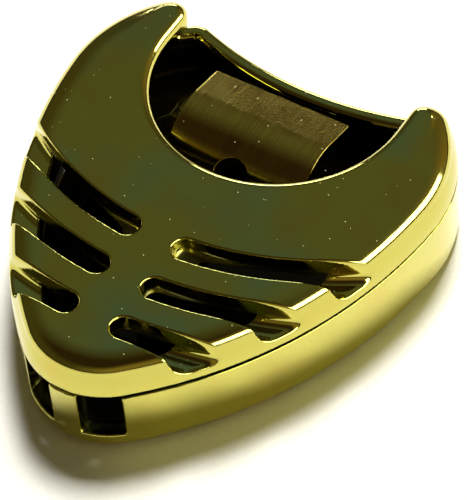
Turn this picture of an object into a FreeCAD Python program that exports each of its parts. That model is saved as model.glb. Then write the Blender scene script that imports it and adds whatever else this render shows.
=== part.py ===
import FreeCAD, Part
import math
import os

# A holder for guitar plectrums: a plated case shaped like a plectrum, stuck down by its flat back.
# Plectrums slide in over the low rear rim and are pressed against the slotted cover by a leaf spring.
# Millimetres. X runs across the case, +Y points to the mouth, -Y to the pointed end, and +Z is up
# from the surface it is stuck to. The origin is on that surface, below the middle of the case.

Vec = FreeCAD.Vector

# Plan outline at its widest level: tangent arcs, the same on both sides of the YZ plane.
tip_y = -22.35
tip_radius = 8.3
flank_radius = 45.2
half_width = 20.5
widest_y = 11.2
shoulder_radius = 14.5
corner_radius = 2.2
rear_middle_y = 21.15
rear_radius = 38.0

# Levels.
liner_thickness = 0.1
shell_bottom = 0.3
pad_top = 1.1
floor_top = 2.0
parting_level = 7.7
plate_underside = 9.85
case_top = 11.95

# Walls and the steps between the two shells. Cutters reach past a solid by margin, and pieces that are
# joined overlap.
base_wall = 1.8
cover_wall = 3.0
fit_gap = 0.1
tongue_depth = 1.0
parting_chamfer = 0.12
smallest_corner = 0.5
beyond = 30.0
overlap = 0.1
margin = 1.0
tiny = 0.01

# Outer profiles, as (offset from the plan outline, level) from the bottom up.
base_profile = [(-0.85, shell_bottom), (-0.4, 0.5), (-0.1, 1.0), (0.0, 1.7),
                (0.0, parting_level - parting_chamfer), (-parting_chamfer, parting_level)]
cover_profile = [(-parting_chamfer, parting_level), (0.0, parting_level + parting_chamfer), (-0.2, 9.2),
                 (-0.55, 10.35), (-0.73, 10.9), (-1.23, 11.38), (-2.0, 11.74), (-2.7, 11.89), (-3.45, case_top)]

# The U-shaped thumb notch in the cover, and the mouth below it in the base.
notch_radius = 12.75
notch_centre_y = 16.93
horn_radius = 2.3
mouth_half_width = 15.0
mouth_start_y = 17.0
mouth_corner = 0.5
rim_level = 6.6

# Three curved slots on each side of the cover, all about one centre behind the case.
slot_centre_y = 26.9
slot_count = 3
slot_first_radius = 32.54
slot_pitch = 5.23
slot_width = 2.46
slot_start_x = 3.15
slot_floor = 8.95
slot_sweep = 36.0

# Two windows in the base wall, one each side of a pillar at the pointed end.
pillar_width = 3.0
window_width = 3.8
window_sill = 2.1
window_back_y = -18.0

# Leaf spring: one bent steel strip. Its foot lies on the floor and its crest lifts the plectrums.
strip_width = 15.0
strip_thickness = 0.35
foot_end_y = 16.7
bend_centre_y = 10.7
bend_radius = 3.6
ramp_angle = 28.0
crest_radius = 5.0
crest_level = 10.1
tail_angle = 12.0
tail_end_y = 17.3
flex_gap = 0.3
strip_hole_radius = 1.95
strip_hole_angle = 20.0
strip_corner = 0.8

# Moulded features on the floor that hold the foot of the spring, and a stud in front of it.
# Each stop is its half length across, its first and last y, and its height.
rail_width = 1.0
rail_height = 1.25
rail_clearance = 0.2
rail_start_y = 11.2
rail_end_y = 16.6
lip_overlap = 0.9
lip_thickness = 0.6
lip_start_y = 13.0
lip_end_y = 16.0
front_stop = (3.0, 6.3, 7.3, 1.6)
rear_stop = (2.0, 16.9, 17.7, 0.9)
stud_radius = 1.1
stud_y = 0.4
stud_height = 0.9
stud_edge_round = 0.5

# Foam pad and its release liner, in a recess under the base.
recess_inset = -3.2
pad_inset = -3.4


def meeting_point(centre_a, radius_a, centre_b, radius_b):
    """The right-hand crossing of two circles, seen from centre_a towards centre_b."""
    dx, dy = centre_b[0] - centre_a[0], centre_b[1] - centre_a[1]
    gap = math.hypot(dx, dy)
    along = (gap ** 2 + radius_a ** 2 - radius_b ** 2) / (2 * gap)
    across = math.sqrt(radius_a ** 2 - along ** 2)
    return (centre_a[0] + (along * dx + across * dy) / gap,
            centre_a[1] + (along * dy - across * dx) / gap)


def bearing(start, end):
    return math.atan2(end[1] - start[1], end[0] - start[0])


def arc(centre, radius, first, last, level):
    """A flat arc at one level, between two bearings in radians."""
    points = [Vec(centre[0] + radius * math.cos(angle), centre[1] + radius * math.sin(angle), level)
              for angle in (first, (first + last) / 2, last)]
    return Part.Arc(*points).toShape()


def outline(offset, level):
    """The closed plan outline, moved outwards by offset, as eight tangent arcs."""
    tip = (0.0, tip_y + tip_radius)
    shoulder = (half_width - shoulder_radius, widest_y)
    rear = (0.0, rear_middle_y + rear_radius)
    flank = meeting_point(shoulder, flank_radius - shoulder_radius, tip, flank_radius - tip_radius)
    corner_round = max(corner_radius + offset, smallest_corner)
    corner = meeting_point(shoulder, shoulder_radius + offset - corner_round,
                           rear, rear_radius - offset + corner_round)
    right_arcs = [(flank, flank_radius + offset, bearing(flank, tip), bearing(flank, shoulder)),
                  (shoulder, shoulder_radius + offset, bearing(flank, shoulder), bearing(shoulder, corner)),
                  (corner, corner_round, bearing(shoulder, corner), bearing(corner, rear))]
    rear_start = bearing(rear, corner)
    tip_end = bearing(flank, tip)
    edges = [arc(tip, tip_radius + offset, -math.pi - tip_end, tip_end, level)]
    edges += [arc(*piece, level) for piece in right_arcs]
    edges.append(arc(rear, rear_radius - offset, rear_start, -math.pi - rear_start, level))
    for centre, radius, first, last in reversed(right_arcs):
        edges.append(arc((-centre[0], centre[1]), radius, math.pi - last, math.pi - first, level))
    return Part.Wire(edges)


def prism(offset, bottom, top):
    return Part.Face(outline(offset, bottom)).extrude(Vec(0, 0, top - bottom))


def shell_body(profile):
    """The solid whose side follows profile, with the outline as its plan at every level."""
    return Part.makeLoft([outline(offset, level) for offset, level in profile], True, True)


def block(x_range, y_range, z_range):
    size = [span[1] - span[0] for span in (x_range, y_range, z_range)]
    return Part.makeBox(*size, Vec(x_range[0], y_range[0], z_range[0]))


def notch_cutter():
    """The thumb notch: a round end and straight sides, which flare round the tips of the two horns."""
    bottom = parting_level - 2 * tongue_depth
    shoulder = (half_width - shoulder_radius, widest_y)
    horn_x = notch_radius + horn_radius
    reach = shoulder_radius - horn_radius
    horn = (horn_x, widest_y + math.sqrt(reach ** 2 - (horn_x - shoulder[0]) ** 2))
    leave = bearing(shoulder, horn)
    corners = [(horn[0] + horn_radius * math.cos(leave), horn[1] + horn_radius * math.sin(leave)),
               (horn[0] + beyond * math.cos(leave), horn[1] + beyond * math.sin(leave))]
    right = [Part.LineSegment(Vec(notch_radius, notch_centre_y, bottom),
                              Vec(notch_radius, horn[1], bottom)).toShape(),
             arc(horn, horn_radius, math.pi, leave, bottom),
             Part.LineSegment(Vec(*corners[0], bottom), Vec(*corners[1], bottom)).toShape()]
    left = [edge.mirror(Vec(0, 0, 0), Vec(1, 0, 0)) for edge in right]
    rear = Part.LineSegment(Vec(*corners[1], bottom), Vec(-corners[1][0], corners[1][1], bottom)).toShape()
    round_end = arc((0.0, notch_centre_y), notch_radius, -math.pi, 0.0, bottom)
    plan = Part.Wire(Part.__sortEdges__([round_end, rear] + right + left))
    return Part.Face(plan).extrude(Vec(0, 0, case_top + margin - bottom))


def slot_cutter(radius, side):
    """A round-bottomed channel along an arc, from a round end near the middle out past the wall."""
    half = slot_width / 2
    top = case_top + margin
    axis = Vec(0, slot_centre_y, 0)
    start_angle = math.asin(slot_start_x / radius)
    section = Part.Wire([
        Part.LineSegment(Vec(-half, 0, top), Vec(-half, 0, slot_floor + half)).toShape(),
        Part.Arc(Vec(-half, 0, slot_floor + half), Vec(0, 0, slot_floor),
                 Vec(half, 0, slot_floor + half)).toShape(),
        Part.LineSegment(Vec(half, 0, slot_floor + half), Vec(half, 0, top)).toShape(),
        Part.LineSegment(Vec(half, 0, top), Vec(-half, 0, top)).toShape()])
    section.translate(axis + Vec(radius, 0, 0))
    channel = Part.Face(section).revolve(axis, Vec(0, 0, 1), slot_sweep)
    start_turn = -90.0 + math.degrees(start_angle)
    if side < 0:
        start_turn = -90.0 - math.degrees(start_angle) - slot_sweep
    channel.rotate(axis, Vec(0, 0, 1), start_turn)
    end_centre = Vec(side * slot_start_x, slot_centre_y - radius * math.cos(start_angle), slot_floor + half)
    round_end = Part.makeCylinder(half, top - end_centre.z, end_centre)
    return channel.fuse(round_end.fuse(Part.makeSphere(half, end_centre)))


def tongue():
    """The ring below the cover that drops inside the base wall, left out at the mouth and windows."""
    ring_levels = (parting_level - tongue_depth, parting_level + tongue_depth)
    ring = prism(-base_wall - fit_gap, *ring_levels).cut(prism(-cover_wall, *ring_levels))
    reach = pillar_width / 2 + window_width + margin
    window_gap = block((-reach, reach), (-beyond, window_back_y), ring_levels)
    mouth_reach = mouth_half_width + fit_gap
    mouth_gap = block((-mouth_reach, mouth_reach), (mouth_start_y, beyond), ring_levels)
    below = block((-beyond, beyond), (-beyond, beyond), (ring_levels[0], parting_level))
    return ring.cut(window_gap.fuse(mouth_gap)).common(below)


def mouth_cutter(bottom, top):
    """The space between the rear rim and the horns of the cover, with rounded lower corners."""
    opening = block((-mouth_half_width, mouth_half_width), (mouth_start_y, beyond), (bottom, top))
    lower_corners = [edge for edge in opening.Edges
                     if abs(edge.BoundBox.ZMax - bottom) < overlap and edge.BoundBox.YLength > margin]
    return opening.makeFillet(mouth_corner, lower_corners)


def make_top_cover():
    hollow = prism(-cover_wall, parting_level - margin, plate_underside)
    cover = shell_body(cover_profile).cut(hollow).fuse(tongue()).cut(notch_cutter())
    cover = cover.cut(mouth_cutter(parting_level - margin, plate_underside))
    for index in range(slot_count):
        for side in (-1, 1):
            cover = cover.cut(slot_cutter(slot_first_radius + index * slot_pitch, side))
    return cover.removeSplitter()


def window_cutter(side):
    inner = pillar_width / 2
    opening = block((inner, inner + window_width), (-beyond, window_back_y),
                    (window_sill, parting_level + margin))
    return opening if side > 0 else opening.mirror(Vec(0, 0, 0), Vec(1, 0, 0))


def spring_seat():
    """Rails with hooked lips beside the foot of the spring, and stops before and behind it."""
    inner = strip_width / 2 + rail_clearance
    top = floor_top + rail_height
    rail = block((inner, inner + rail_width), (rail_start_y, rail_end_y), (floor_top - overlap, top))
    lip = block((inner - lip_overlap, inner + overlap), (lip_start_y, lip_end_y), (top - lip_thickness, top))
    right = rail.fuse(lip)
    stops = [block((-half_x, half_x), (start_y, end_y), (floor_top - overlap, floor_top + height))
             for half_x, start_y, end_y, height in (front_stop, rear_stop)]
    stud = Part.makeCylinder(stud_radius, stud_height + overlap, Vec(0, stud_y, floor_top - overlap))
    stud = stud.makeFillet(stud_edge_round, [stud.Edges[0]])
    return [right, right.mirror(Vec(0, 0, 0), Vec(1, 0, 0)), *stops, stud]


def make_base_shell():
    base = shell_body(base_profile).cut(prism(-base_wall, floor_top, parting_level + margin))
    base = base.cut(prism(recess_inset, shell_bottom - margin, pad_top))
    base = base.cut(mouth_cutter(rim_level, parting_level + margin))
    for side in (-1, 1):
        base = base.cut(window_cutter(side))
    for feature in spring_seat():
        base = base.fuse(feature)
    return base.removeSplitter()


def strip_points():
    """Centres and bearings of the strip's centre line in the YZ plane, from the bend to the tail."""
    bend = (bend_centre_y, floor_top + strip_thickness / 2 + bend_radius)
    ramp = math.radians(ramp_angle)
    tail = math.radians(tail_angle)
    ramp_start_z = bend[1] + bend_radius * math.cos(ramp)
    crest_z = crest_level - strip_thickness / 2 - crest_radius
    ramp_end_z = crest_z + crest_radius * math.cos(ramp)
    ramp_start_y = bend[0] - bend_radius * math.sin(ramp)
    ramp_end_y = ramp_start_y + (ramp_end_z - ramp_start_z) / math.tan(ramp)
    crest = (ramp_end_y + crest_radius * math.sin(ramp), crest_z)
    tail_start = (crest[0] + crest_radius * math.sin(tail), crest_z + crest_radius * math.cos(tail))
    tail_end = (tail_end_y, tail_start[1] - (tail_end_y - tail_start[0]) * math.tan(tail))
    return bend, crest, tail_end


def strip_side(first, last, shift):
    """One face of the strip as edges, from bend bearing first to last, then on to foot or tail."""
    bend, crest, tail_end = strip_points()

    def polar(centre, radius, degrees):
        angle = math.radians(degrees)
        return Vec(0, centre[0] + radius * math.cos(angle), centre[1] + radius * math.sin(angle))

    radius = bend_radius + shift
    bend_arc = [polar(bend, radius, angle) for angle in (first, (first + last) / 2, last)]
    edges = [Part.Arc(*bend_arc).toShape()]
    if last > 180:
        edges.append(Part.LineSegment(bend_arc[2], Vec(0, foot_end_y, bend[1] - radius)).toShape())
        return edges
    crest_arc = [polar(crest, crest_radius + shift, angle)
                 for angle in (90 + ramp_angle, 90, 90 - tail_angle)]
    tail = math.radians(tail_angle)
    tail_point = Vec(0, tail_end[0] + shift * math.sin(tail), tail_end[1] + shift * math.cos(tail))
    edges.append(Part.LineSegment(bend_arc[2], crest_arc[0]).toShape())
    edges.append(Part.Arc(*crest_arc).toShape())
    edges.append(Part.LineSegment(crest_arc[2], tail_point).toShape())
    return edges


def bent_strip(first, last):
    """A length of the strip as a solid, with its free corners clipped round."""
    outer = strip_side(first, last, strip_thickness / 2)
    inner = strip_side(first, last, -strip_thickness / 2)
    caps = [Part.LineSegment(outer[0].Vertexes[0].Point, inner[0].Vertexes[0].Point).toShape(),
            Part.LineSegment(outer[-1].Vertexes[-1].Point, inner[-1].Vertexes[-1].Point).toShape()]
    section = Part.Wire(Part.__sortEdges__(outer + inner + caps))
    section.translate(Vec(-strip_width / 2, 0, 0))
    strip = Part.Face(section).extrude(Vec(strip_width, 0, 0))
    end_y = strip.BoundBox.YMax
    free_corners = [edge for edge in strip.Edges
                    if edge.BoundBox.YMax > end_y - strip_thickness
                    and abs(edge.Length - strip_thickness) < tiny]
    return strip.makeFillet(strip_corner, free_corners)


def flex_half_angle():
    return math.degrees(flex_gap / 2 / bend_radius)


def make_spring_foot():
    return bent_strip(180 + flex_half_angle(), 270)


def make_spring_leaf():
    leaf = bent_strip(180 - flex_half_angle(), 90 + ramp_angle)
    bend = strip_points()[0]
    lean = math.radians(strip_hole_angle)
    direction = Vec(0, -math.cos(lean), math.sin(lean))
    start = Vec(0, bend[0], bend[1]) + direction
    return leaf.cut(Part.makeCylinder(strip_hole_radius, bend_radius + margin, start, direction))


def make_adhesive_pad():
    return prism(pad_inset, liner_thickness, pad_top)


def make_release_liner():
    return prism(pad_inset, 0.0, liner_thickness)


makers = {
    "base_shell": make_base_shell,
    "top_cover": make_top_cover,
    "spring_foot": make_spring_foot,
    "spring_leaf": make_spring_leaf,
    "adhesive_pad": make_adhesive_pad,
    "release_liner": make_release_liner,
}

os.makedirs("parts", exist_ok=True)
for name, make in makers.items():
    shape = make()
    shape.exportStep(f"parts/{name}.step")
    box = shape.BoundBox
    print(name, len(shape.Solids), "solid", shape.isValid(), round(shape.Volume, 1), "mm3",
          [round(value, 2) for value in (box.XMin, box.XMax, box.YMin, box.YMax, box.ZMin, box.ZMax)])
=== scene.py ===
import math

import bpy
import numpy as np
from mathutils import Matrix, Vector


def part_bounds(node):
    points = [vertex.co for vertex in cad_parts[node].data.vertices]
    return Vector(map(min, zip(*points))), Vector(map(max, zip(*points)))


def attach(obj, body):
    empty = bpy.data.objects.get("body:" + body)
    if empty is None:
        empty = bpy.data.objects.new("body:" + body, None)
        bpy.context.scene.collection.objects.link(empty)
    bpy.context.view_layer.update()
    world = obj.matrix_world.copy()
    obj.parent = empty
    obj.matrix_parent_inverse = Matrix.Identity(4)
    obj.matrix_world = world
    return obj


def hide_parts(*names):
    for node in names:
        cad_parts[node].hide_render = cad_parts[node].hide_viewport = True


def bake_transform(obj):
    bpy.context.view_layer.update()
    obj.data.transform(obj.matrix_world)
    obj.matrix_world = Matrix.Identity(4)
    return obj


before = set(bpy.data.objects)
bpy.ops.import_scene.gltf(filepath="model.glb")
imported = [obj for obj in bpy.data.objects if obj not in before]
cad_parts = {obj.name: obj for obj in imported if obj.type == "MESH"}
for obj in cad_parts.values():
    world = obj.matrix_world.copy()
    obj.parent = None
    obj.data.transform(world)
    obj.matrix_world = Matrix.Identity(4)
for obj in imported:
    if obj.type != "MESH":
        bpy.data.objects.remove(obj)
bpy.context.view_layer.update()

# A plectrum holder of gold-plated plastic with a leaf spring. Shapes are worked out in millimetres, in
# the part's own frame: X across, +Y to the mouth, +Z up from the surface the case is stuck to.
MM = 0.001


def part_box(part):
    """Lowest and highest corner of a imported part, in millimetres."""
    low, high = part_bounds(part)
    return low / MM, high / MM


base_low, base_high = part_box("base_shell")
cover_low, cover_high = part_box("top_cover")
pad_low, pad_high = part_box("adhesive_pad")
liner_low, liner_high = part_box("release_liner")
foot_low, foot_high = part_box("spring_foot")
leaf_low, leaf_high = part_box("spring_leaf")

# Plan outline of the case, as tangent arcs on the right-hand side.
tip_y = -22.35
tip_radius = 8.3
flank_radius = 45.2
half_width = 20.5
widest_y = 11.2
shoulder_radius = 14.5
corner_radius = 2.2
rear_middle_y = 21.15
rear_radius = 38.0

# Levels and walls.
shell_bottom = base_low.z
pad_top = pad_high.z
floor_top = foot_low.z
parting_level = base_high.z
tongue_bottom = cover_low.z
tongue_top = parting_level + 1.0
case_top = cover_high.z
plate_underside = case_top - 2.1
base_wall = 1.8
cover_wall = 3.0
tongue_gap = 0.1
parting_gap_rear = 0.12
parting_gap_tip = 0.22

# Roundings of moulded edges.
bevel_height = 1.6
bevel_width = 2.9
side_lean = 0.55
lean_power = 1.8
foot_radius = 0.9
parting_round = 0.1
notch_round = 1.1
horn_radius = 2.3
slot_round = 0.24
rim_round = 0.85
inside_round = 0.15

# Thumb notch and mouth.
notch_radius = 12.75
notch_centre_y = 16.93
mouth_half_width = 15.0
mouth_start_y = 17.0
rim_level = 6.6
mouth_corner = 0.6

# Slots: grooves along arcs about one centre behind the case, mirrored to the other side.
slot_centre_y = 26.9
slot_first_radius = 32.54
slot_spacing = 5.23
slot_radii = [slot_first_radius + slot_spacing * index for index in range(3)]
slot_width = 2.46
slot_start_x = 3.15
slot_floor = 9.2
slot_floor_fall = 0.10
slot_floor_round = 0.8

# Windows in the base wall beside the pillar at the pointed end.
pillar_width = 3.0
window_width = 3.8
window_sill = 2.1
window_back_y = -18.0
window_in_tongue_shift = 0.6

# Leaf spring: one strip, bent in the YZ plane. Points of its centre line are (y, z).
strip_thickness = 0.35
strip_edge_round = 0.09
bend_radius = 3.6
ramp_angle = math.radians(28)
tail_angle = math.radians(12)
crest_radius = 5.0
strip_hole_radius = 1.95
strip_hole_lean = math.radians(20)
strip_corner = 0.8
strip_hole_start = 1.0
crest_top = 10.1
bend_centre_y = 10.7

middle_radius = strip_thickness / 2
bend_centre = Vector((bend_centre_y, floor_top + middle_radius + bend_radius))
crest_centre_z = crest_top - middle_radius - crest_radius
ramp_start = bend_centre + bend_radius * Vector((-math.sin(ramp_angle), math.cos(ramp_angle)))
ramp_end_z = crest_centre_z + crest_radius * math.cos(ramp_angle)
ramp_end_y = ramp_start.x + (ramp_end_z - ramp_start.y) / math.tan(ramp_angle)
crest_centre = Vector((ramp_end_y + crest_radius * math.sin(ramp_angle), crest_centre_z))
tail_start = crest_centre + crest_radius * Vector((math.sin(tail_angle), math.cos(tail_angle)))
strip_foot_end_y = 16.7
strip_tail_end_y = 17.3
strip_half_width = 7.5

# The seat of the spring's foot on the floor, and the stud in front of it.
rail_clearance = 0.2
rail_width = 1.0
rail_height = 1.25
rail_y = (11.2, 16.6)
lip_overlap = 0.9
lip_root = 0.5
lip_thickness = 0.6
lip_y = (13.0, 16.0)
# Each stop is half its length along X, its range along Y, and its height.
front_stop = (3.0, (6.3, 7.3), 1.6)
rear_stop = (2.0, (16.9, 17.7), 0.9)
stud_y = 0.4
stud_radius = 1.1
stud_height = 0.9
stud_round = 0.7
seat_fillet = 0.12
seat_root = 0.2
floor_corner = 0.5

# Foam pad and release liner.
recess_inset = 3.2
pad_inset = 3.4
pad_clearance = 0.05
pad_round = 0.12
pad_unevenness = 0.04
liner_round = 0.02


# ---- Distance fields: negative inside, in millimetres --------------------------------------------

def join(a, b, radius):
    """Where both solids are, with their common edge rounded to radius."""
    return (np.hypot(np.maximum(a + radius, 0), np.maximum(b + radius, 0)) - radius
            + np.minimum(np.maximum(a, b) + radius, 0))


def cut(a, b, radius):
    return join(a, -b, radius)


def merge(a, b, radius):
    """Both solids together, with a fillet of radius where they meet."""
    return -join(-a, -b, radius)


def slab(value, low, high):
    """Between two values."""
    return np.abs(value - (low + high) / 2) - (high - low) / 2


def rise(value, start, full):
    """From 0 at start to 1 at full, and held beyond them."""
    return np.clip((value - start) / (full - start), 0, 1)


def meeting_point(centre_a, radius_a, centre_b, radius_b):
    """The right-hand crossing of two circles, seen from centre_a towards centre_b."""
    step = Vector(centre_b) - Vector(centre_a)
    along = (step.length_squared + radius_a ** 2 - radius_b ** 2) / (2 * step.length)
    across = math.sqrt(radius_a ** 2 - along ** 2)
    ahead = step.normalized()
    return Vector(centre_a) + along * ahead + across * Vector((ahead.y, -ahead.x))


def bearing(start, end):
    return math.atan2(end[1] - start[1], end[0] - start[0])


def outline_arcs():
    """The right half of the outline: (centre, radius, first bearing, last bearing, 1 or -1 if hollow)."""
    tip = Vector((0, tip_y + tip_radius))
    shoulder = Vector((half_width - shoulder_radius, widest_y))
    rear = Vector((0, rear_middle_y + rear_radius))
    flank = meeting_point(shoulder, flank_radius - shoulder_radius, tip, flank_radius - tip_radius)
    corner = meeting_point(shoulder, shoulder_radius - corner_radius, rear, rear_radius + corner_radius)
    return [(tip, tip_radius, -math.pi / 2, bearing(flank, tip), 1),
            (flank, flank_radius, bearing(flank, tip), bearing(flank, shoulder), 1),
            (shoulder, shoulder_radius, bearing(flank, shoulder), bearing(shoulder, corner), 1),
            (corner, corner_radius, bearing(shoulder, corner), bearing(corner, rear), 1),
            (rear, rear_radius, -math.pi / 2, bearing(rear, corner), -1)]


ARCS = outline_arcs()


def arc_distance(x, y, centre, radius, first, last):
    """Distance in a plane to an arc, and how far outside its circle the point is."""
    dx, dy = x - centre[0], y - centre[1]
    reach = np.hypot(dx, dy) - radius
    turn = np.arctan2(dy, dx)
    distance = np.abs(reach)
    for angle, beyond in ((first, turn < first), (last, turn > last)):
        end_x = centre[0] + radius * math.cos(angle)
        end_y = centre[1] + radius * math.sin(angle)
        distance = np.where(beyond, np.maximum(distance, np.hypot(x - end_x, y - end_y)), distance)
    return distance, reach


def plan_distance(x, y):
    """Signed distance in plan from the case's outline."""
    x = np.abs(x)
    nearest, signed = None, None
    for centre, radius, first, last, side in ARCS:
        distance, reach = arc_distance(x, y, centre, radius, first, last)
        value = np.where(side * reach < 0, -distance, distance)
        if nearest is None:
            nearest, signed = distance, value
        else:
            signed = np.where(distance < nearest, value, signed)
            nearest = np.minimum(distance, nearest)
    return signed


def notch_distance(x, y):
    return np.hypot(x, np.minimum(y - notch_centre_y, 0)) - notch_radius


def horn_plan(x, y, edge, notch):
    """Plan distance from the cover with its horn tips round, and how far a place belongs to the outside."""
    shoulder_x = half_width - shoulder_radius
    horn_x = notch_radius + horn_radius
    horn_y = widest_y + math.sqrt((shoulder_radius - horn_radius) ** 2 - (horn_x - shoulder_x) ** 2)
    leave = bearing((shoulder_x, widest_y), (horn_x, horn_y))
    dx, dy = np.abs(x) - horn_x, y - horn_y
    turn = np.arctan2(dy, dx)
    past_tip = (turn > leave) & (turn < math.pi)
    plan = np.where(past_tip, np.hypot(dx, dy) - horn_radius, np.maximum(edge, -notch))
    share = np.where(past_tip, (math.pi - turn) / (math.pi - leave),
                     np.clip(0.5 + (edge + notch) / horn_radius, 0, 1))
    return plan, share * share * (3 - 2 * share)


def parting_gap(y):
    """Half the height of the dark line between the shells, which opens a little towards the tip."""
    return parting_gap_rear + (parting_gap_tip - parting_gap_rear) * rise(y, widest_y, tip_y)


def slot_centre_distance(x, y, radius):
    """Distance in plan from a slot's centre line, which starts at slot_start_x."""
    x = np.abs(x)
    start_turn = math.asin(slot_start_x / radius)
    start_y = slot_centre_y - radius * math.cos(start_turn)
    turn = np.arctan2(x, slot_centre_y - y)
    along = np.abs(np.hypot(x, y - slot_centre_y) - radius)
    return np.where(turn < start_turn, np.hypot(x - slot_start_x, y - start_y), along)


def windows(x, y, z):
    middle = (pillar_width + window_width) / 2
    return np.maximum(np.maximum(np.abs(np.abs(x) - middle) - window_width / 2, window_sill - z),
                      y - window_back_y)


def cover_lean(z):
    """How far the cover's side has drawn in at a level, between the parting line and the bevel."""
    return side_lean * rise(z, parting_level, case_top - bevel_height) ** lean_power


def cover_field(x, y, z):
    edge = plan_distance(x, y)
    notch = notch_distance(x, y)
    # The broad bevel of the outside narrows to the rolled edge of the notch round the tips of the horns.
    plan, outside = horn_plan(x, y, edge, notch)
    height = notch_round + (bevel_height - notch_round) * outside
    width = notch_round + (bevel_width - notch_round) * outside
    side = plan + cover_lean(z) * outside
    body = join(side * height / width, z - case_top, height)
    body = join(body, parting_level + parting_gap(y) - z, parting_round)
    tongue = np.maximum(edge + base_wall + tongue_gap, np.maximum(tongue_bottom - z, z - tongue_top))
    tongue = cut(tongue, windows(x, y + window_in_tongue_shift, z), inside_round)
    hollow = np.maximum(edge + cover_wall, z - plate_underside)
    mouth = np.maximum(np.maximum(np.abs(x) - mouth_half_width, mouth_start_y - y), z - plate_underside)
    body = cut(np.minimum(body, tongue), np.minimum(hollow, mouth), inside_round)
    for radius in slot_radii:
        across = slot_centre_distance(x, y, radius) - slot_width / 2
        floor = slot_floor - slot_floor_fall * (edge + cover_wall)
        body = cut(body, join(across, floor - z, slot_floor_round), slot_round)
    return np.maximum(body, -notch)


def seat_features(x, y, z):
    """Rails with hooked lips for the foot of the spring, stops before and behind it, and a stud."""
    inner = strip_half_width + rail_clearance
    rail_top = floor_top + rail_height
    mirrored = np.abs(x)
    rail = np.maximum(slab(mirrored, inner, inner + rail_width), np.maximum(slab(y, *rail_y), z - rail_top))
    lip = np.maximum(slab(mirrored, inner - lip_overlap, inner + lip_root),
                     np.maximum(slab(y, *lip_y), slab(z, rail_top - lip_thickness, rail_top)))
    seat = np.minimum(rail, lip)
    for half_length, y_range, height in (front_stop, rear_stop):
        stop = np.maximum(mirrored - half_length, np.maximum(slab(y, *y_range), z - floor_top - height))
        seat = np.minimum(seat, stop)
    stud = join(np.hypot(x, y - stud_y) - stud_radius, z - floor_top - stud_height, stud_round)
    return np.minimum(seat, stud)


def base_field(x, y, z):
    edge = plan_distance(x, y)
    body = join(edge, shell_bottom - z, foot_radius)
    body = join(body, z - parting_level + parting_gap(y), parting_round)
    hollow = join(edge + base_wall, floor_top - z, floor_corner)
    body = cut(body, hollow, inside_round)
    features = np.maximum(seat_features(x, y, z), floor_top - seat_root - z)
    body = merge(body, features, seat_fillet)
    body = cut(body, np.maximum(edge + recess_inset, z - pad_top), inside_round)
    mouth = np.maximum(join(np.abs(x) - mouth_half_width, rim_level - z, mouth_corner), mouth_start_y - y)
    body = cut(body, mouth, rim_round)
    return cut(body, windows(x, y, z), inside_round)


# ---- Meshes from fields ---------------------------------------------------------------------------

def field_normals(field, points, step):
    """Unit outward normals of a field at points, and its value there."""
    value = field(*points.T)
    slope = np.empty_like(points)
    for axis in range(3):
        ahead, behind = points.copy(), points.copy()
        ahead[:, axis] += step
        behind[:, axis] -= step
        slope[:, axis] = (field(*ahead.T) - field(*behind.T)) / (2 * step)
    size = np.maximum(np.linalg.norm(slope, axis=1, keepdims=True), 1e-6)
    return slope / size, value / size[:, 0]


def net_surface(field, low, high, cell):
    """Quads round the zero level of a field: one vertex in each cell that the surface passes."""
    counts = [int(math.ceil((high[a] - low[a]) / cell)) + 3 for a in range(3)]
    axes = [low[a] - cell + cell * np.arange(counts[a]) for a in range(3)]
    x, y, z = axes[0][:, None, None], axes[1][None, :, None], axes[2][None, None, :]
    value = np.broadcast_to(field(x, y, z), counts).astype(np.float32)
    inside = value < 0
    cells = [count - 1 for count in counts]
    sums = np.zeros(cells + [3], np.float32)
    hits = np.zeros(cells, np.uint8)
    crossings = []
    for axis in range(3):
        near = np.take(value, range(counts[axis] - 1), axis)
        far = np.take(value, range(1, counts[axis]), axis)
        crossed = (near < 0) != (far < 0)
        share = np.where(crossed, near / np.where(crossed, near - far, 1), 0)
        crossings.append(crossed)
        first, second = [other for other in range(3) if other != axis]
        for up in (0, 1):
            for over in (0, 1):
                view = [slice(None)] * 3
                view[first] = slice(up, up + cells[first])
                view[second] = slice(over, over + cells[second])
                here, part = crossed[tuple(view)], share[tuple(view)]
                hits += here
                sums[..., axis] += part
                sums[..., first] += here * up
                sums[..., second] += here * over
    used = hits > 0
    number = np.full(cells, -1, np.int64)
    number[used] = np.arange(used.sum())
    place = np.argwhere(used)
    points = (place + sums[used] / hits[used][:, None]) * cell + [axes[a][0] for a in range(3)]
    quads = []
    for axis in range(3):
        first, second = [(1, 2), (2, 0), (0, 1)][axis]
        at = np.argwhere(crossings[axis])
        at = at[(at[:, first] > 0) & (at[:, second] > 0)
                & (at[:, first] < cells[first]) & (at[:, second] < cells[second])]
        corners = []
        for back_first, back_second in ((1, 1), (0, 1), (0, 0), (1, 0)):
            corner = at.copy()
            corner[:, first] -= back_first
            corner[:, second] -= back_second
            corners.append(number[tuple(corner.T)])
        quad = np.stack(corners, 1)
        leaving = inside[tuple(at.T)]
        quads.append(np.where(leaving[:, None], quad, quad[:, ::-1]))
    return points.astype(float), np.concatenate(quads)


def mesh_object(name, points, faces):
    """A smooth-shaded object from points in millimetres and equal-sided faces."""
    mesh = bpy.data.meshes.new(name)
    sides = faces.shape[1]
    mesh.vertices.add(len(points))
    mesh.vertices.foreach_set("co", (points * MM).astype(np.float32).ravel())
    mesh.loops.add(faces.size)
    mesh.loops.foreach_set("vertex_index", faces.astype(np.int32).ravel())
    mesh.polygons.add(len(faces))
    mesh.polygons.foreach_set("loop_start", np.arange(0, faces.size, sides, dtype=np.int32))
    mesh.update(calc_edges=True)
    mesh.validate()
    mesh.shade_smooth()
    piece = bpy.data.objects.new(name, mesh)
    bpy.context.scene.collection.objects.link(piece)
    return piece


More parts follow.
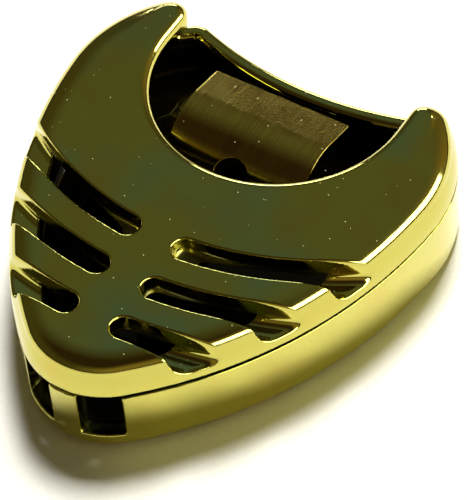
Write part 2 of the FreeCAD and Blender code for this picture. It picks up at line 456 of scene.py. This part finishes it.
def vertex_places(mesh):
    """Every vertex of a mesh, in millimetres."""
    places = np.empty(len(mesh.vertices) * 3, np.float32)
    mesh.vertices.foreach_get("co", places)
    return places.reshape(-1, 3).astype(float) / MM


def thin_out(piece, share):
    """Collapses edges down to a share of the faces, flat places first, and applies it."""
    modifier = piece.modifiers.new("thin", "DECIMATE")
    modifier.ratio = share
    modifier.use_collapse_triangulate = True
    graph = bpy.context.evaluated_depsgraph_get()
    lean = bpy.data.meshes.new_from_object(piece.evaluated_get(graph))
    old = piece.data
    piece.modifiers.clear()
    piece.data = lean
    bpy.data.meshes.remove(old)


def solid_from_field(name, field, low, high, cell, share=1.0):
    """A closed mesh on a field's zero level, with the field's own normals for shading."""
    points, quads = net_surface(field, low, high, cell)
    # Two steps along the normals bring the net onto the surface.
    probe = cell / 8
    for _ in range(2):
        normals, value = field_normals(field, points, probe)
        points -= normals * np.clip(value, -cell / 2, cell / 2)[:, None]
    piece = mesh_object(name, points, quads)
    if share < 1:
        thin_out(piece, share)
    # Thinning moves some vertices a little, so they go back to the surface.
    mesh = piece.data
    points = vertex_places(mesh)
    normals, value = field_normals(field, points, probe)
    points -= normals * np.clip(value, -cell / 4, cell / 4)[:, None]
    mesh.vertices.foreach_set("co", (points * MM).astype(np.float32).ravel())
    normals = field_normals(field, points, probe)[0]
    mesh.shade_smooth()
    mesh.normals_split_custom_set_from_vertices(normals)
    mesh.update()
    return piece


# Cells of the nets in millimetres, finest for the thin sheets, and the share of the faces kept.
coarse = 1.0
cover_cell = 0.17 * coarse
base_cell = 0.18 * coarse
strip_cell = 0.11 * coarse
pad_cell = 0.3 * coarse
liner_cell = 0.09 * coarse
shell_share = 0.55
strip_share = 0.6
pad_share = 0.5
liner_share = 0.15

cover = solid_from_field("cover", cover_field, cover_low, cover_high, cover_cell, shell_share)
base = solid_from_field("base", base_field, base_low, base_high, base_cell, shell_share)


# ---- Leaf spring ----------------------------------------------------------------------------------

def line_distance(y, z, start, end):
    step = end - start
    share = ((y - start.x) * step.x + (z - start.y) * step.y) / step.length_squared
    share = np.clip(share, 0, 1)
    return np.hypot(y - start.x - share * step.x, z - start.y - share * step.y)


def strip_field(x, y, z):
    """One bent strip: foot on the floor, front bend, ramp, crest and tail."""
    past_end = strip_tail_end_y + 2
    foot = line_distance(y, z, Vector((bend_centre.x, floor_top + middle_radius)),
                         Vector((past_end, floor_top + middle_radius)))
    tail_end = Vector((past_end, tail_start.y - (past_end - tail_start.x) * math.tan(tail_angle)))
    lines = [foot,
             line_distance(y, z, ramp_start, Vector((ramp_end_y, ramp_end_z))),
             line_distance(y, z, tail_start, tail_end)]
    # The bend's bearings run past 180 degrees, so it is measured mirrored, towards +Y.
    lines.append(arc_distance(2 * bend_centre.x - y, z, bend_centre, bend_radius,
                              -math.pi / 2, math.pi / 2 - ramp_angle)[0])
    lines.append(arc_distance(y, z, crest_centre, crest_radius,
                              math.pi / 2 - tail_angle, math.pi / 2 + ramp_angle)[0])
    distance = lines[0]
    for line in lines[1:]:
        distance = np.minimum(distance, line)
    end_y = np.where(z < bend_centre.y, strip_foot_end_y, strip_tail_end_y)
    plan = join(np.abs(x) - strip_half_width, y - end_y, strip_corner)
    strip = join(distance - middle_radius, plan, strip_edge_round)
    aim_y, aim_z = -math.cos(strip_hole_lean), math.sin(strip_hole_lean)
    away = (z - bend_centre.y) * aim_y - (y - bend_centre.x) * aim_z
    ahead = (y - bend_centre.x) * aim_y + (z - bend_centre.y) * aim_z
    hole = np.maximum(np.hypot(x, away) - strip_hole_radius, strip_hole_start - ahead)
    return cut(strip, hole, strip_edge_round)


spring_low = Vector((foot_low.x, min(foot_low.y, leaf_low.y), foot_low.z))
spring_high = Vector((foot_high.x, foot_high.y, leaf_high.z))
spring = solid_from_field("leaf_spring", strip_field, spring_low, spring_high, strip_cell, strip_share)


# ---- Foam pad and release liner -------------------------------------------------------------------

def foam_edge(x, y):
    """The unevenness of a cut foam edge, as two crossed waves."""
    return pad_unevenness * np.sin(5.1 * x + 2.3 * y) * np.sin(3.7 * y - 1.9 * x)


def pad_field(x, y, z):
    side = plan_distance(x, y) + pad_inset + pad_clearance + foam_edge(x, y)
    return join(side, slab(z, pad_low.z, pad_high.z), pad_round)


def liner_field(x, y, z):
    return join(plan_distance(x, y) + pad_inset, slab(z, liner_low.z, liner_high.z), liner_round)


pad = solid_from_field("foam_pad", pad_field, pad_low, pad_high, pad_cell, pad_share)
liner = solid_from_field("release_paper", liner_field, liner_low, liner_high, liner_cell, liner_share)


# ---- Materials ------------------------------------------------------------------------------------

def linear(hex_colour):
    """An sRGB hex colour as linear red, green, blue and alpha."""
    parts = [int(hex_colour[i:i + 2], 16) / 255 for i in (1, 3, 5)]
    return [p / 12.92 if p <= 0.04045 else ((p + 0.055) / 1.055) ** 2.4 for p in parts] + [1.0]


def new_material(name):
    """A new material, its node tree, its shader, and the place on the piece in metres."""
    material = bpy.data.materials.new(name)
    material.use_nodes = True
    tree = material.node_tree
    return material, tree, tree.nodes["Principled BSDF"], node(tree, "TexCoord", output="Object")


def plug(tree, made, key, value):
    """Sets one input of a node, or links it where the value is (node, output)."""
    if isinstance(value, tuple) and isinstance(value[0], bpy.types.Node):
        tree.links.new(value[0].outputs[value[1]], made.inputs[key])
    else:
        made.inputs[key].default_value = value


def node(tree, kind, inputs=(), output=0, **settings):
    """Adds a node and gives back one of its outputs. Inputs are in order, or named in a dict."""
    made = tree.nodes.new("ShaderNode" + kind)
    for key, value in settings.items():
        setattr(made, key, value)
    for key, value in inputs.items() if isinstance(inputs, dict) else enumerate(inputs):
        plug(tree, made, key, value)
    return made, output


def per_mm(size):
    """Texture scale that gives features of about this size in millimetres."""
    return 1 / (size * MM)


def dust_specks(tree, place, spacing, radius, kept):
    """Round specks of a radius, one for each cell of a spacing, in millimetres, but only a share kept."""
    cells = node(tree, "TexVoronoi", {"Vector": place, "Scale": per_mm(spacing)}, "Distance")
    chosen = node(tree, "SeparateColor", [(cells[0], "Color")])
    near = node(tree, "MapRange", [cells, radius / spacing, 0.5 * radius / spacing])
    chance = node(tree, "MapRange", [chosen, kept, kept - 0.02])
    return node(tree, "Math", [near, chance], operation="MULTIPLY")


def gold_plated_abs():
    """Bright nickel and a flash of gold over moulded ABS, under a thin clear lacquer, with a painted reflection
    on the top.
    In the recesses the colour is darkened as painted shade, and the plating is rougher there."""
    material, tree, shader, place = new_material("gold_plated_abs")
    recess = node(tree, "Attribute", output="Fac", attribute_name="recess")
    open_face = node(tree, "Math", [1.0, recess], operation="SUBTRACT")
    facing = node(tree, "SeparateXYZ", [node(tree, "NewGeometry", output="Normal")], "Z")
    upward = node(tree, "MapRange", [facing, 0.93, 0.995])
    # Painted reflection: pale greenish clouds about 13 mm across on faces that look up; a warmer tone in
    # patches of 5 mm.
    reflection_cloud = node(tree, "TexNoise", {"Vector": place, "Scale": per_mm(13), "Detail": 2.0})
    reflection_cloud = node(tree, "Math", [node(tree, "MapRange", [reflection_cloud, 0.44, 0.62]), upward], operation="MULTIPLY")
    colour = node(tree, "Mix", {0: reflection_cloud, 6: linear("#CBC45C"), 7: linear("#B0C88C")}, 2, data_type="RGBA")
    warm = node(tree, "TexNoise", {"Vector": place, "Scale": per_mm(5), "Detail": 3.0})
    warm = node(tree, "MapRange", [warm, 0.5, 0.75, 0.0, 0.5])
    colour = node(tree, "Mix", {0: warm, 6: colour, 7: linear("#CFAE48")}, 2, data_type="RGBA")
    # Painted shade: the colour goes dark brown in the recesses.
    colour = node(tree, "Mix", {0: recess, 6: colour, 7: linear("#241A08")}, 2, data_type="RGBA")
    # Dust specks of 0.075 mm, about 1 mm apart, and finer pits.
    dust = node(tree, "Math", [dust_specks(tree, place, 0.95, 0.075, 0.5), open_face], operation="MULTIPLY")
    colour = node(tree, "Mix", {0: dust, 6: colour, 7: linear("#D8D2A8")}, 2, data_type="RGBA")
    plug(tree, shader, "Base Color", colour)
    plug(tree, shader, "Metallic", node(tree, "MapRange", [dust, 0.0, 1.0, 1.0, 0.2]))
    # Hairline wipe marks 0.09 mm wide and a few millimetres long, on a haze in patches of 1.6 mm.
    along = node(tree, "Mapping", {"Vector": place, "Scale": (0.02, 1, 1)})
    wipes = node(tree, "TexNoise", {"Vector": along, "Scale": per_mm(0.09), "Detail": 2.0})
    wipes = node(tree, "MapRange", [wipes, 0.6, 0.72, 0.0, 0.07])
    haze = node(tree, "TexNoise", {"Vector": place, "Scale": per_mm(1.6), "Detail": 4.0})
    haze = node(tree, "MapRange", [haze, 0.35, 0.7, 0.055, 0.12])
    rough = node(tree, "Math", [haze, wipes], operation="ADD")
    rough = node(tree, "Math", [dust, 0.6, rough], operation="MULTIPLY_ADD")
    plug(tree, shader, "Roughness", node(tree, "Math", [recess, 0.3, rough], operation="MULTIPLY_ADD"))
    # Slow moulding ripple, then the orange peel of the plating.
    ripple = node(tree, "TexNoise", {"Vector": place, "Scale": per_mm(6.5), "Detail": 1.0})
    relief = node(tree, "Bump", {"Height": ripple, "Distance": 0.018 * MM, "Strength": 1.0})
    peel = node(tree, "TexNoise", {"Vector": place, "Scale": per_mm(0.8), "Detail": 2.0})
    relief = node(tree, "Bump", {"Height": peel, "Distance": 0.0012 * MM, "Strength": 1.0, "Normal": relief})
    pits = dust_specks(tree, place, 0.9, 0.05, 0.3)
    relief = node(tree, "Bump", {"Height": pits, "Distance": 0.01 * MM, "Strength": 1.0, "Normal": relief})
    plug(tree, shader, "Normal", relief)
    plug(tree, shader, "Coat Weight", 0.4)
    plug(tree, shader, "Coat Roughness", 0.04)
    return material


def spring_steel():
    """Cold-rolled spring steel strip, blanked, bent and gold plated with the rolling grain still showing."""
    material, tree, shader, place = new_material("spring_steel")
    # The grain runs along the strip: lines 0.06 mm apart across it and several millimetres long.
    lengthways = node(tree, "Mapping", {"Vector": place, "Scale": (1, 0.015, 0.015)})
    grain = node(tree, "TexNoise", {"Vector": lengthways, "Scale": per_mm(0.06), "Detail": 3.0})
    share = node(tree, "MapRange", [grain, 0.35, 0.7])
    tone = node(tree, "Mix", {0: share, 6: linear("#BFA64C"), 7: linear("#D8C468")}, 2, data_type="RGBA")
    stain = node(tree, "TexNoise", {"Vector": place, "Scale": per_mm(3.0), "Detail": 3.0})
    stain = node(tree, "MapRange", [stain, 0.5, 0.72, 0.0, 0.6])
    tone = node(tree, "Mix", {0: stain, 6: tone, 7: linear("#9A7A30")}, 2, data_type="RGBA")
    # Painted shade: the inside of the loop is darkened.
    recess = node(tree, "Attribute", output="Fac", attribute_name="recess")
    tone = node(tree, "Mix", {0: recess, 6: tone, 7: linear("#1A1206")}, 2, data_type="RGBA")
    dust = dust_specks(tree, place, 1.0, 0.08, 0.4)
    tone = node(tree, "Mix", {0: dust, 6: tone, 7: linear("#D8D2B8")}, 2, data_type="RGBA")
    plug(tree, shader, "Base Color", tone)
    plug(tree, shader, "Metallic", node(tree, "MapRange", [dust, 0.0, 1.0, 1.0, 0.3]))
    rough = node(tree, "MapRange", [grain, 0.3, 0.7, 0.13, 0.21])
    plug(tree, shader, "Roughness", node(tree, "Math", [dust, 0.5, rough], operation="MULTIPLY_ADD"))
    waves = node(tree, "TexNoise", {"Vector": place, "Scale": per_mm(4.0), "Detail": 1.0})
    relief = node(tree, "Bump", {"Height": waves, "Distance": 0.012 * MM, "Strength": 1.0})
    relief = node(tree, "Bump", {"Height": grain, "Distance": 0.0006 * MM, "Strength": 1.0, "Normal": relief})
    plug(tree, shader, "Normal", relief)
    return material


def foam():
    """Closed-cell polyethylene foam tape, with its cells cut open at the edge."""
    material, tree, shader, place = new_material("closed_cell_foam")
    # Cells of 0.18 mm with thin walls, and handling marks a few millimetres across.
    cells = node(tree, "TexVoronoi", {"Vector": place, "Scale": per_mm(0.18)}, "Distance")
    share = node(tree, "MapRange", [cells, 0.2, 0.7])
    tone = node(tree, "Mix", {0: share, 6: linear("#C9C5BA"), 7: linear("#EDEAE1")}, 2, data_type="RGBA")
    soiled = node(tree, "TexNoise", {"Vector": place, "Scale": per_mm(4.0), "Detail": 3.0})
    soiled = node(tree, "MapRange", [soiled, 0.5, 0.75, 0.0, 0.35])
    tone = node(tree, "Mix", {0: soiled, 6: tone, 7: linear("#BDB6A2")}, 2, data_type="RGBA")
    plug(tree, shader, "Base Color", tone)
    plug(tree, shader, "Roughness", 0.88)
    relief = node(tree, "Bump", {"Height": cells, "Distance": 0.06 * MM, "Strength": 1.0})
    plug(tree, shader, "Normal", relief)
    plug(tree, shader, "Subsurface Weight", 0.15)
    plug(tree, shader, "Subsurface Radius", [0.6 * MM, 0.6 * MM, 0.5 * MM])
    return material


def release_paper():
    """Glassine paper with a silicone coat: calendered fibres, a satin sheen and faint handling creases."""
    material, tree, shader, place = new_material("silicone_release_paper")
    # Fibres about 0.1 mm wide and 1 mm long, lying both ways.
    fibres = []
    for stretch in ((0.12, 1, 1), (1, 0.12, 1)):
        lying = node(tree, "Mapping", {"Vector": place, "Scale": stretch})
        fibres.append(node(tree, "TexNoise", {"Vector": lying, "Scale": per_mm(0.1), "Detail": 4.0}))
    fibres = node(tree, "Math", fibres, operation="MAXIMUM")
    share = node(tree, "MapRange", [fibres, 0.4, 0.75])
    tone = node(tree, "Mix", {0: share, 6: linear("#E6E0CC"), 7: linear("#F4F0E2")}, 2, data_type="RGBA")
    mottled = node(tree, "TexNoise", {"Vector": place, "Scale": per_mm(2.5), "Detail": 4.0})
    mottled = node(tree, "MapRange", [mottled, 0.45, 0.7, 0.0, 0.4])
    tone = node(tree, "Mix", {0: mottled, 6: tone, 7: linear("#D9D2BA")}, 2, data_type="RGBA")
    plug(tree, shader, "Base Color", tone)
    plug(tree, shader, "Roughness", node(tree, "MapRange", [fibres, 0.4, 0.75, 0.36, 0.5]))
    folded = node(tree, "Mapping", {"Vector": place, "Scale": (1, 0.3, 1)})
    creases = node(tree, "TexNoise", {"Vector": folded, "Scale": per_mm(7.0), "Detail": 3.0})
    creases = node(tree, "MapRange", [creases, 0.48, 0.53])
    relief = node(tree, "Bump", {"Height": creases, "Distance": 0.012 * MM, "Strength": 1.0})
    relief = node(tree, "Bump", {"Height": fibres, "Distance": 0.004 * MM, "Strength": 1.0, "Normal": relief})
    plug(tree, shader, "Normal", relief)
    return material


def mark_shaded_recess(piece):
    """Stores how deep in the case each vertex lies, from 0 outside to 1, for the painted shade and the rougher
    plating there.
    The painted shade fades over a few tenths of a millimetre from each edge."""
    mesh = piece.data
    x, y, z = vertex_places(mesh).T
    depth = -plan_distance(x, y)
    inward = np.where(z < parting_level + 0.5, rise(depth, 0.5, 1.4), rise(depth, cover_wall - 0.3, cover_wall))
    down = rise(case_top - z, 0.9, 2.1)
    above_pad = rise(z - pad_top, 0, 0.5)
    clear_of_notch = notch_distance(x, y) > 0.2
    under_plate = rise(plate_underside - z, -0.1, 0.1)
    share = inward * down * above_pad * np.maximum(clear_of_notch, under_plate)
    # The rear rim stays free of the painted shade down to 0.7 mm below its top.
    at_rear = rise(y - mouth_start_y, 0, 0.5)
    share = share * (1 - at_rear * (1 - rise(rim_level - z, 0.7, 1.5)))
    store_shaded_recess(mesh, share)


def store_shaded_recess(mesh, share):
    stored = mesh.attributes.new("recess", "FLOAT", "POINT")
    stored.data.foreach_set("value", share.astype(np.float32))


def mark_shaded_inside_of_strip(piece):
    """Marks the faces of the strip that look into its own loop, which get painted shade."""
    mesh = piece.data
    points = vertex_places(mesh)
    normals = field_normals(strip_field, points, strip_edge_round / 4)[0]
    y, z = (points + normals * strip_thickness)[:, 1:].T
    round_bend = np.sqrt(np.maximum(bend_radius ** 2 - (y - bend_centre.x) ** 2, 0))
    round_crest = np.sqrt(np.maximum(crest_radius ** 2 - (y - crest_centre.x) ** 2, 0))
    ramp_z = ramp_start.y + (y - ramp_start.x) * math.tan(ramp_angle)
    tail_z = tail_start.y - (y - tail_start.x) * math.tan(tail_angle)
    top = np.where(y < ramp_start.x, bend_centre.y + round_bend,
                   np.where(y < ramp_end_y, ramp_z, np.where(y < tail_start.x, crest_centre.y + round_crest,
                                                             tail_z)))
    bottom = np.where(y < bend_centre.x, bend_centre.y - round_bend, floor_top + middle_radius)
    store_shaded_recess(mesh, ((z < top) & (z > bottom) & (y < strip_foot_end_y)).astype(float))


def dress(piece, material):
    piece.data.materials.clear()
    piece.data.materials.append(material)


mark_shaded_recess(cover)
mark_shaded_recess(base)
mark_shaded_inside_of_strip(spring)
gold = gold_plated_abs()
dress(cover, gold)
dress(base, gold)
dress(spring, spring_steel())
dress(pad, foam())
dress(liner, release_paper())

for piece, replaced in ((cover, "top_cover"), (base, "base_shell"), (pad, "adhesive_pad"),
                        (liner, "release_liner")):
    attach(piece, "holder")
    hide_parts(replaced)

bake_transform(spring)
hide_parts("spring_foot", "spring_leaf")


# ---- Stage, light and camera ----------------------------------------------------------------------

def table_paper():
    """Matt white card, with a faint fibre texture."""
    material, tree, shader, place = new_material("white_table")
    fibres = node(tree, "TexNoise", {"Vector": place, "Scale": per_mm(0.5), "Detail": 3.0})
    share = node(tree, "MapRange", [fibres, 0.3, 0.7])
    tone = node(tree, "Mix", {0: share, 6: linear("#F3F2EE"), 7: linear("#F8F7F3")}, 2, data_type="RGBA")
    plug(tree, shader, "Base Color", tone)
    plug(tree, shader, "Roughness", 0.9)
    plug(tree, shader, "Specular IOR Level", 0.2)
    return material


def add_table():
    """A table 0.9 m square, a hair below the liner so that the two never share a plane."""
    half = 0.45
    mesh = bpy.data.meshes.new("table")
    mesh.from_pydata([(-half, -half, 0), (half, -half, 0), (half, half, 0), (-half, half, 0)], [],
                     [(0, 1, 2, 3)])
    mesh.materials.append(table_paper())
    table = bpy.data.objects.new("table", mesh)
    table.location = (0, 0, -0.02 * MM)
    bpy.context.scene.collection.objects.link(table)


add_table()


def softbox(name, azimuth, elevation, distance, size, power, colour, mirrored=True, on_table=True):
    """An area light aimed at the holder. Azimuth is the bearing from +X towards +Y, in degrees."""
    light = bpy.data.lights.new(name, "AREA")
    light.shape = "RECTANGLE"
    light.size, light.size_y = size
    light.energy = power
    light.color = linear(colour)[:3]
    lamp = bpy.data.objects.new(name, light)
    turn, lift = math.radians(azimuth), math.radians(elevation)
    away = Vector((math.cos(turn) * math.cos(lift), math.sin(turn) * math.cos(lift), math.sin(lift)))
    lamp.location = away * distance
    lamp.rotation_euler = away.to_track_quat("Z", "Y").to_euler()
    lamp.visible_glossy = mirrored
    lamp.visible_diffuse = on_table
    bpy.context.scene.collection.objects.link(lamp)


# A soft light above and behind for the table and the shadow, a long low panel on the right, and a small
# dim one low behind. Power is in watts.
softbox("above", 107, 64, 0.6, (0.15, 0.15), 5.1, "#FFFDF8", mirrored=False)
softbox("low_right", 12, 24, 0.7, (1.1, 0.3), 8.0, "#F2F8FF", on_table=False)
softbox("low_rear", 122, 14, 0.7, (0.26, 0.1), 0.8, "#F2F8FF", on_table=False)


def room_light():
    """A dim room: dusky overhead, brown overhead in front, warm on the upper right and dark at the horizon."""
    world = bpy.data.worlds.new("room")
    bpy.context.scene.world = world
    world.use_nodes = True
    tree = world.node_tree
    split = node(tree, "SeparateXYZ", [node(tree, "TexCoord", output="Generated")])[0]
    right, rear, height = [(split, axis) for axis in "XYZ"]
    # Each layer has where it starts and is full along a direction, then its colours before and after.
    overhead = node(tree, "Mix", {0: node(tree, "MapRange", [rear, -0.25, 0.3]),
                                  6: linear("#33271A"), 7: linear("#5F624E")}, 2, data_type="RGBA")
    wall = node(tree, "Mix", {0: node(tree, "MapRange", [right, -0.2, 0.5]),
                              6: linear("#4C472C"), 7: linear("#8C7A4C")}, 2, data_type="RGBA")
    sky = node(tree, "Mix", {0: node(tree, "MapRange", [height, 0.5, 0.75]),
                             6: wall, 7: overhead}, 2, data_type="RGBA")
    sky = node(tree, "Mix", {0: node(tree, "MapRange", [height, 0.04, 0.16]),
                             6: linear("#2A261A"), 7: sky}, 2, data_type="RGBA")
    # Pale below the horizon, to light the underside.
    sky = node(tree, "Mix", {0: node(tree, "MapRange", [height, -0.06, -0.03]),
                             6: linear("#C6C4BC"), 7: sky}, 2, data_type="RGBA")
    # What the lens sees past the table is a pale backdrop.
    sky = node(tree, "Mix", {0: node(tree, "LightPath", output="Is Camera Ray"),
                             6: sky, 7: linear("#E9E8E4")}, 2, data_type="RGBA")
    plug(tree, tree.nodes["Background"], "Color", sky)


room_light()


def add_camera():
    """A long lens from the front right, above, with a slight roll."""
    azimuth, elevation, roll = math.radians(36.521), math.radians(50.571), math.radians(-5.978)
    aim = Vector((1.53, 4.256, shell_bottom)) * MM
    distance = 338.3 * MM
    back = Vector((math.sin(azimuth) * math.cos(elevation), -math.cos(azimuth) * math.cos(elevation),
                   math.sin(elevation)))
    right = Vector((math.cos(azimuth), math.sin(azimuth), 0))
    up = back.cross(right)
    rolled_right = math.cos(roll) * right + math.sin(roll) * up
    rolled_up = math.cos(roll) * up - math.sin(roll) * right
    lens = bpy.data.cameras.new("camera")
    lens.sensor_width = 36.0
    lens.lens = 252.0
    lens.clip_start = 0.01
    camera = bpy.data.objects.new("camera", lens)
    camera.matrix_world = Matrix.Translation(aim + back * distance) @ Matrix(
        (rolled_right, rolled_up, back)).transposed().to_4x4()
    bpy.context.scene.collection.objects.link(camera)
    bpy.context.scene.camera = camera


add_camera()
bpy.context.scene.view_settings.view_transform = "Standard"
